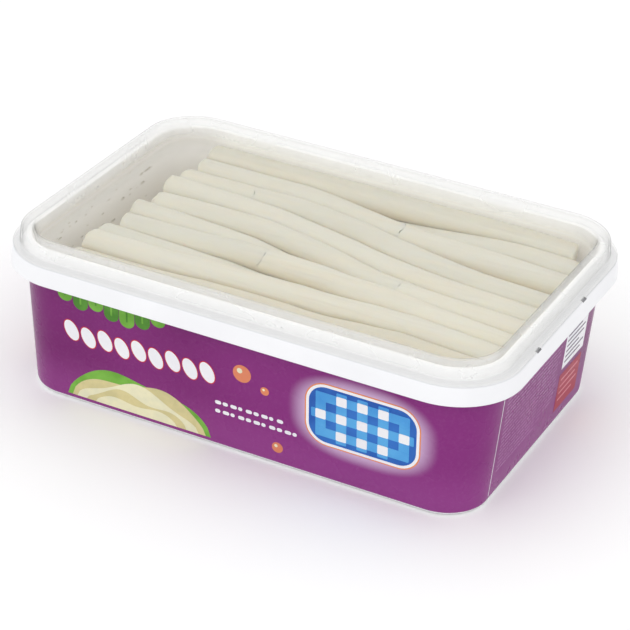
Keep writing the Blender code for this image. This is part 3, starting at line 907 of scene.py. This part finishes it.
def tube(xs, cy, cz, rad, theta, shapes, torn, rng, segs):
    """Vertices and faces of one stick from its sections, closed by worked end faces."""
    rings = []
    total = len(xs)
    for k in range(total):
        shift = np.zeros(segs)
        for (lean_y, lean_z, wave), far in (
            (shapes[0], xs[k] - xs[0]), (shapes[1], xs[-1] - xs[k]),
        ):
            near = max(0.0, 1.0 - far / 9.0) ** 2
            shift += near * (
                lean_y * rad[k] * np.cos(theta) + lean_z * rad[k] * np.sin(theta) + wave
            )
        ring = np.empty((segs, 3))
        ring[:, 0] = xs[k] + shift
        ring[:, 1] = cy[k] + rad[k] * np.cos(theta)
        ring[:, 2] = cz[k] + rad[k] * np.sin(theta)
        rings.append(ring)
    caps = []
    for k, side, ragged, (lean_y, lean_z, wave) in (
        (0, -1.0, torn[0], shapes[0]), (total - 1, 1.0, torn[1], shapes[1]),
    ):
        soft = 0.03 if ragged else 1.2
        fibre = np.zeros(segs)
        for m in range(5, 15):
            fibre += rng.normal() * 0.04 * np.cos(m * theta + rng.uniform(0.0, 6.28))
        steps = [
            (
                1.0 - soft / rad[k].mean() * (1.0 - math.cos(math.radians(a))),
                soft * math.sin(math.radians(a)),
            )
            for a in (25.0, 50.0, 72.0, 90.0)
        ]
        inner = steps[-1][0]
        for share in (0.82, 0.62, 0.42, 0.2):
            steps.append((inner * share, soft + 0.06 * rng.normal()))
        cap = []
        for share, out in steps:
            radius = rad[k] * share
            lean = lean_y * radius * np.cos(theta) + lean_z * radius * np.sin(theta)
            ring = np.empty((segs, 3))
            ring[:, 0] = xs[k] + side * (out - soft) + lean + wave * share + fibre * share
            ring[:, 1] = cy[k] + radius * np.cos(theta)
            ring[:, 2] = cz[k] + radius * np.sin(theta)
            cap.append(ring)
        caps.append(cap)
    # the body's own end rings stay behind the rounded rims
    for k, side, cap in ((0, 1.0, caps[0]), (total - 1, -1.0, caps[1])):
        soft = 0.03 if torn[0 if k == 0 else 1] else 1.2
        rings[k][:, 0] += side * soft
    ordered = caps[0][::-1] + rings + caps[1]
    points = np.concatenate(ordered)
    faces = []
    for k in range(len(ordered) - 1):
        low, high = k * segs, (k + 1) * segs
        for j in range(segs):
            after = (j + 1) % segs
            faces.append((low + j, high + j, high + after, low + after))
    points = np.concatenate([points, [ordered[0].mean(0), ordered[-1].mean(0)]])
    a, b = len(points) - 2, len(points) - 1
    last_ring = (len(ordered) - 1) * segs
    for j in range(segs):
        after = (j + 1) % segs
        faces.append((a, j, after))
        faces.append((b, last_ring + after, last_ring + j))
    return points, faces


def soft_least(values, sharpness):
    """The least of several distances, rounded where two are near."""
    return -np.log(np.exp(-sharpness * np.stack(values)).sum(0)) / sharpness


def section_radii(xs, cy, cz, radius, theta, rng, others, top_limit, walls):
    """How far the stick's surface lies from its middle: a soft flattened oval, fibrous, pressed against others."""
    wide = radius * (1.24 + 0.03 * ripple(rng, xs, 4, 70.0, 22.0))[:, None]
    high = radius * (1.00 + 0.012 * ripple(rng, xs, 4, 90.0, 30.0))[:, None]
    lean = 0.10 * ripple(rng, xs, 3, 160.0, 70.0)[:, None]
    angle = theta[None, :] - lean
    power = 2.15
    free = (
        (np.abs(np.cos(angle)) / wide) ** power + (np.abs(np.sin(angle)) / high) ** power
    ) ** (-1.0 / power)
    for k in range(3, 15):
        height = 0.20 / k**0.8
        phase = 1.6 * ripple(rng, xs, 3, 160.0, 50.0) + rng.uniform(0.0, 6.28)
        swell = 0.65 + 0.35 * ripple(rng, xs, 3, 60.0, 20.0)
        free = free + height * 0.36 * swell[:, None] * np.cos(k * theta[None, :] + phase[:, None])
    limits = [free]
    for oy, oz, orad, active in others:
        dy, dz = oy - cy, oz - cz
        apart = np.hypot(dy, dz)
        plane = apart * radius / (radius + orad) - 0.02
        facing = np.cos(theta[None, :] - np.arctan2(dz, dy)[:, None])
        limit = np.where(facing > 0.12, plane[:, None] / np.maximum(facing, 0.12), 60.0)
        limit = np.where(active[:, None], limit, 60.0)
        limits.append(np.minimum(limit, 60.0))
    for angle, distance in walls:
        facing = np.cos(theta[None, :] - angle)
        limits.append(
            np.minimum(np.where(facing > 0.12, distance[:, None] / np.maximum(facing, 0.12), 60.0), 60.0)
        )
    up = np.sin(theta)[None, :]
    limits.append(np.where(up > 0.12, (top_limit - cz)[:, None] / np.maximum(up, 0.12), 60.0))
    return soft_least(limits, 3.2)


def spans(row):
    name, _, _, left, right, broken = ROWS[row]
    if broken is None:
        return [(name, left, right, False, False)]
    return [
        (name + "_left", left, broken - 0.02, False, True),
        (name + "_right", broken + 0.02, right, True, False),
    ]


def add_floats(obj, name, values):
    tag = obj.data.attributes.new(name, "FLOAT", "POINT")
    tag.data.foreach_set("value", np.clip(values, 0.0, 1.0).astype(np.float32))


def make_sticks():
    theta = np.linspace(0.0, 2.0 * math.pi, STICK_SIDES, endpoint=False)
    # stick_l and stick_m get the lowest tones, which the cheese material paints darker: painted shade by the near wall;
    # the other tones differ at random
    tones = {
        "stick_a": 0.62, "stick_b": 0.30, "stick_c_left": 0.50, "stick_c_right": 0.62,
        "stick_d": 0.25, "stick_e_left": 0.40, "stick_e_right": 0.30, "stick_f": 0.66,
        "stick_g_left": 0.45, "stick_g_right": 0.80, "stick_h": 0.35, "stick_i_left": 0.30,
        "stick_i_right": 0.85, "stick_j": 0.25, "stick_k": 0.75, "stick_l": 0.08, "stick_m": 0.0,
    }
    made = []
    for row in range(len(ROWS)):
        for piece, (name, left, right, start, end) in enumerate(spans(row)):
            rng = np.random.default_rng(100 + 7 * row + piece)
            count = max(6, int(round((right - left) / STICK_STEP)))
            xs = np.linspace(left + 0.05, right - 0.05, count + 1)
            cy, cz, radius = row_path(row, xs)
            others = []
            for other in range(max(0, row - 3), min(len(ROWS), row + 4)):
                if other == row:
                    continue
                oy, oz, orad = row_path(other, xs)
                active = (xs > ROWS[other][3] - 1.0) & (xs < ROWS[other][4] + 1.0)
                others.append((oy, oz, orad, active))
            walls = []
            if row < 2 or row > 10:
                sign = 1.0 if row < 2 else -1.0
                far = np.array([room(x, z - 2.0) for x, z in zip(xs, cz)])
                walls.append((0.0 if sign > 0 else math.pi, far - 0.12 - sign * cy))
            rad = section_radii(xs, cy, cz, radius, theta, rng, others, 56.35, walls)
            if end:  # the left piece of a broken stick lies a little lower at the break
                rad = rad * (1.0 - 0.025 * np.clip(1.0 - (xs[-1] - xs) / 14.0, 0.0, 1.0) ** 2)[:, None]
            if start:
                rad = rad * (1.0 + 0.01 * np.clip(1.0 - (xs - xs[0]) / 14.0, 0.0, 1.0) ** 2)[:, None]
            shapes = [
                torn_shape(900 + row, STICK_SIDES, theta) if ragged else cut_shape(rng, STICK_SIDES, theta)
                for ragged in (start, end)
            ]
            points, faces = tube(xs, cy, cz, rad, theta, shapes, (start, end), rng, STICK_SIDES)
            obj = new_object(name + "_cheese", points * MM, faces, 60.0)
            # painted shade: how far each point lies below its stick's top, which the cheese material turns darker and
            # warmer towards the seams
            middle_z = np.interp(points[:, 0], xs, cz)
            below = (middle_z + radius - points[:, 2]) / radius
            add_floats(obj, "shade_depth", np.clip((below - 0.30) / 1.0, 0.0, 1.0) ** 1.2 * 0.85)
            add_floats(obj, "tone", np.full(len(points), tones[name]))
            obj.data.materials.append(CHEESE)
            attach(obj, "root")
            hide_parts(name)
            made.append(obj)
    return made


def make_lower_sticks():
    """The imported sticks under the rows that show, and a plain core low in the middle."""
    grid = np.arange(-78.0, 90.01, LOWER_STEP)
    theta = np.linspace(0.0, 2.0 * math.pi, LOWER_SIDES, endpoint=False)
    above = [
        (np.interp(grid, GRID, LAID[:, row, 0]), np.interp(grid, GRID, LAID[:, row, 1]), LAID[0, row, 2])
        for row in range(len(ROWS))
    ]
    rng = np.random.default_rng(5)
    all_points, all_faces, all_tone, total = [], [], [], 0
    for layer, level in enumerate(LOWER_LAYERS):
        here = []
        edge = room(0.0, level - 5.0) - GAP - LOWER_RADIUS
        pitch = 10.15
        count = int((2.0 * edge) // pitch)
        first = -(count - (layer % 2) * 0.0) * pitch / 2.0 + (pitch / 2.0 if layer % 2 else 0.0)
        columns = [first + k * pitch for k in range(count + 1)]
        for y0 in columns:
            if abs(y0) > edge:
                continue
            cy = y0 + 0.25 * ripple(rng, grid, 2, 160.0, 90.0)
            cy = np.clip(cy, -edge, edge)
            cz = np.full_like(grid, level)
            for oy, oz, orad in above:
                reach = LOWER_RADIUS + orad + 0.35
                across = np.abs(oy - cy)
                under = oz - np.sqrt(np.maximum(reach * reach - across * across, 0.0))
                cz = np.where(across < reach, np.minimum(cz, under), cz)
            if cz.min() < FLOOR + GAP + LOWER_RADIUS:
                continue
            smooth = np.convolve(np.pad(cz, 2, "edge"), np.ones(5) / 5.0, "valid")
            cz = np.minimum(cz, smooth)
            here.append((cy, cz, LOWER_RADIUS))
            if layer < 2:
                parts = [(rng.uniform(-76.0, -71.0), rng.uniform(84.0, 88.0))]
            else:
                parts = [
                    (rng.uniform(-76.0, -71.0), -58.0), (70.0, rng.uniform(83.0, 87.0)),
                ]
            for left, right in parts:
                limit = 92.0 - max(0.0, abs(y0) - 40.0) * 0.45 - LOWER_RADIUS * 0.2
                left, right = max(left, -limit + 4.0), min(right, limit - 2.0)
                n = max(4, int(round((right - left) / LOWER_STEP)))
                xs = np.linspace(left, right, n + 1)
                py, pz = np.interp(xs, grid, cy), np.interp(xs, grid, cz)
                rad = LOWER_RADIUS * np.ones((len(xs), LOWER_SIDES))
                for k in range(3, 8):
                    rad += 0.10 / k * np.cos(k * theta[None, :] + (1.2 * ripple(rng, xs, 2, 120.0, 60.0) + rng.uniform(0, 6.28))[:, None])
                shapes = [cut_shape(rng, LOWER_SIDES, theta) for _ in range(2)]
                points, faces = tube(xs, py, pz, rad, theta, shapes, (False, False), rng, LOWER_SIDES)
                all_points.append(points)
                all_faces += [tuple(i + total for i in face) for face in faces]
                all_tone.append(np.full(len(points), rng.uniform(0.15, 0.7)))
                total += len(points)
        above += here
    # the core: a rounded block under the lower layers, out of sight
    core = bmesh.new()
    bmesh.ops.create_cube(core, size=1.0)
    bmesh.ops.scale(core, vec=(124.0, 96.0, CORE_TOP - 6.5), verts=core.verts)
    bmesh.ops.translate(core, vec=(6.0, 0.0, 1.6 + (CORE_TOP - 6.5) / 2.0), verts=core.verts)
    bmesh.ops.bevel(core, geom=list(core.edges), offset=3.0, segments=3, affect="EDGES")
    core.verts.ensure_lookup_table()
    points = np.array([v.co for v in core.verts])
    all_points.append(points)
    all_faces += [tuple(v.index + total for v in face.verts) for face in core.faces]
    all_tone.append(np.full(len(points), 0.3))
    total += len(points)
    core.free()
    points = np.concatenate(all_points)
    obj = new_object("lower_sticks_cheese", points * MM, all_faces, 60.0)
    # painted shade: the deeper in the tub, the darker and warmer the cheese
    add_floats(obj, "shade_depth", np.clip((44.0 - points[:, 2]) / 30.0, 0.15, 0.9))
    add_floats(obj, "tone", np.concatenate(all_tone))
    obj.data.materials.append(CHEESE)
    return obj


# ---------------------------------------------------------------------- drops
def make_drops():
    """Small drops on the inside of the left wall."""
    rng = np.random.default_rng(31)
    points, faces, total = [], [], 0

    def drop(centre, out, along, up, radii):
        nonlocal total
        segs, levels = 12, 5
        rings = []
        for level in range(levels):
            a = math.radians(90.0 * level / levels)
            for j in range(segs):
                t = 2.0 * math.pi * j / segs
                rings.append(
                    centre
                    + along * radii[0] * math.cos(a) * math.cos(t)
                    + up * radii[1] * math.cos(a) * math.sin(t)
                    + out * radii[2] * math.sin(a)
                )
        rings.append(centre + out * radii[2])
        rings.append(centre - out * 0.02)
        base = total
        for level in range(levels - 1):
            for j in range(segs):
                after = (j + 1) % segs
                faces.append((base + level * segs + j, base + level * segs + after, base + (level + 1) * segs + after, base + (level + 1) * segs + j))
        tip, bottom = base + levels * segs, base + levels * segs + 1
        for j in range(segs):
            after = (j + 1) % segs
            faces.append((base + (levels - 1) * segs + j, base + (levels - 1) * segs + after, tip))
            faces.append((base + after, base + j, bottom))
        points.extend(rings)
        total += len(rings)

    for _ in range(46):
        z = rng.uniform(37.0, 54.0)
        y = rng.uniform(-42.0, 40.0)
        size = rng.uniform(0.22, 0.45) if rng.random() < 0.75 else rng.uniform(0.55, 0.95)
        hx = wall_half(z, WALL)[0]
        out = np.array([1.0, 0.0, -0.07])
        centre = np.array([-hx + 0.02, y, z])
        drop(centre, out / np.linalg.norm(out), np.array([0.0, 1.0, 0.0]), np.array([0.07, 0.0, 1.0]),
             (size * rng.uniform(1.4, 2.6), size * rng.uniform(0.5, 0.8), size * 0.4))
    obj = new_object("brine_drops", np.array(points) * MM, faces, 50.0)
    recalc(obj)
    obj.data.materials.append(water())
    return obj


# ------------------------------------------------------------ floor and light
def stage():
    body = bmesh.new()
    bmesh.ops.create_grid(body, x_segments=2, y_segments=2, size=4.0)
    mesh = bpy.data.meshes.new("floor")
    body.to_mesh(mesh)
    body.free()
    floor = bpy.data.objects.new("floor", mesh)
    bpy.context.scene.collection.objects.link(floor)
    n = Nodes("floor_pale")
    tone = n.mix(n.step(n.noise(3.0, 2.0), 0.3, 0.7), (0.965, 0.965, 0.965), (0.975, 0.975, 0.975))
    floor.data.materials.append(n.finish(n.principled(tone, 0.8)))

    world = bpy.data.worlds.new("studio")
    bpy.context.scene.world = world
    world.use_nodes = True
    world.node_tree.nodes["Background"].inputs["Color"].default_value = (1.0, 1.0, 1.0, 1.0)
    world.node_tree.nodes["Background"].inputs["Strength"].default_value = 1.0

    def lamp(name, place, aim, size, watts, colour=(1.0, 1.0, 1.0)):
        data = bpy.data.lights.new(name, "AREA")
        data.shape = "RECTANGLE"
        data.size, data.size_y = size
        data.energy = watts
        data.color = colour
        obj = bpy.data.objects.new(name, data)
        obj.location = place
        obj.rotation_mode = "QUATERNION"
        obj.rotation_quaternion = (Vector(aim) - Vector(place)).to_track_quat("-Z", "Y")
        bpy.context.scene.collection.objects.link(obj)

    lamp("key", (-0.45, -0.35, 1.25), (0.0, 0.0, 0.03), (1.1, 1.1), 0.9)
    lamp("fill", (-0.15, -1.3, 0.85), (0.0, 0.0, 0.04), (1.2, 0.8), 2.4)
    lamp("side", (1.05, -0.25, 0.85), (-0.04, 0.0, 0.04), (1.0, 0.8), 0.7)
    lamp("back", (0.3, 1.1, 0.8), (0.0, 0.0, 0.05), (1.4, 0.6), 0.4)


def make_camera():
    az, el, roll = (math.radians(v) for v in (25.823, 29.507, 2.939))
    back = Vector((math.sin(az) * math.cos(el), -math.cos(az) * math.cos(el), math.sin(el)))
    right = Vector((math.cos(az), math.sin(az), 0.0))
    up = back.cross(right)
    side = right * math.cos(roll) + up * math.sin(roll)
    top = -right * math.sin(roll) + up * math.cos(roll)
    spot = Vector((0.001819, -0.00245, 0.03)) + back * 0.903752
    data = bpy.data.cameras.new("camera")
    data.sensor_width = 36.0
    data.lens = 2451.596 / 630.0 * 36.0
    data.clip_start = 0.01
    camera = bpy.data.objects.new("camera", data)
    camera.matrix_world = Matrix(
        (
            (side.x, top.x, back.x, spot.x),
            (side.y, top.y, back.y, spot.y),
            (side.z, top.z, back.z, spot.z),
            (0.0, 0.0, 0.0, 1.0),
        )
    )
    bpy.context.scene.collection.objects.link(camera)
    bpy.context.scene.camera = camera


bpy.context.scene.view_settings.view_transform = "Standard"
make_camera()
stage()

CHEESE = cheese("cheese_ivory")

shell = make_tub()
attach(shell, "root")
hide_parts("tub")

band = make_label()
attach(band, "root")

art = make_print()
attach(art, "root")

lid = make_lid()
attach(lid, "root")
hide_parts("lid")

sticks = make_sticks()

lower = make_lower_sticks()
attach(lower, "root")
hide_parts("stick_bundle")

drops = make_drops()
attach(drops, "root")
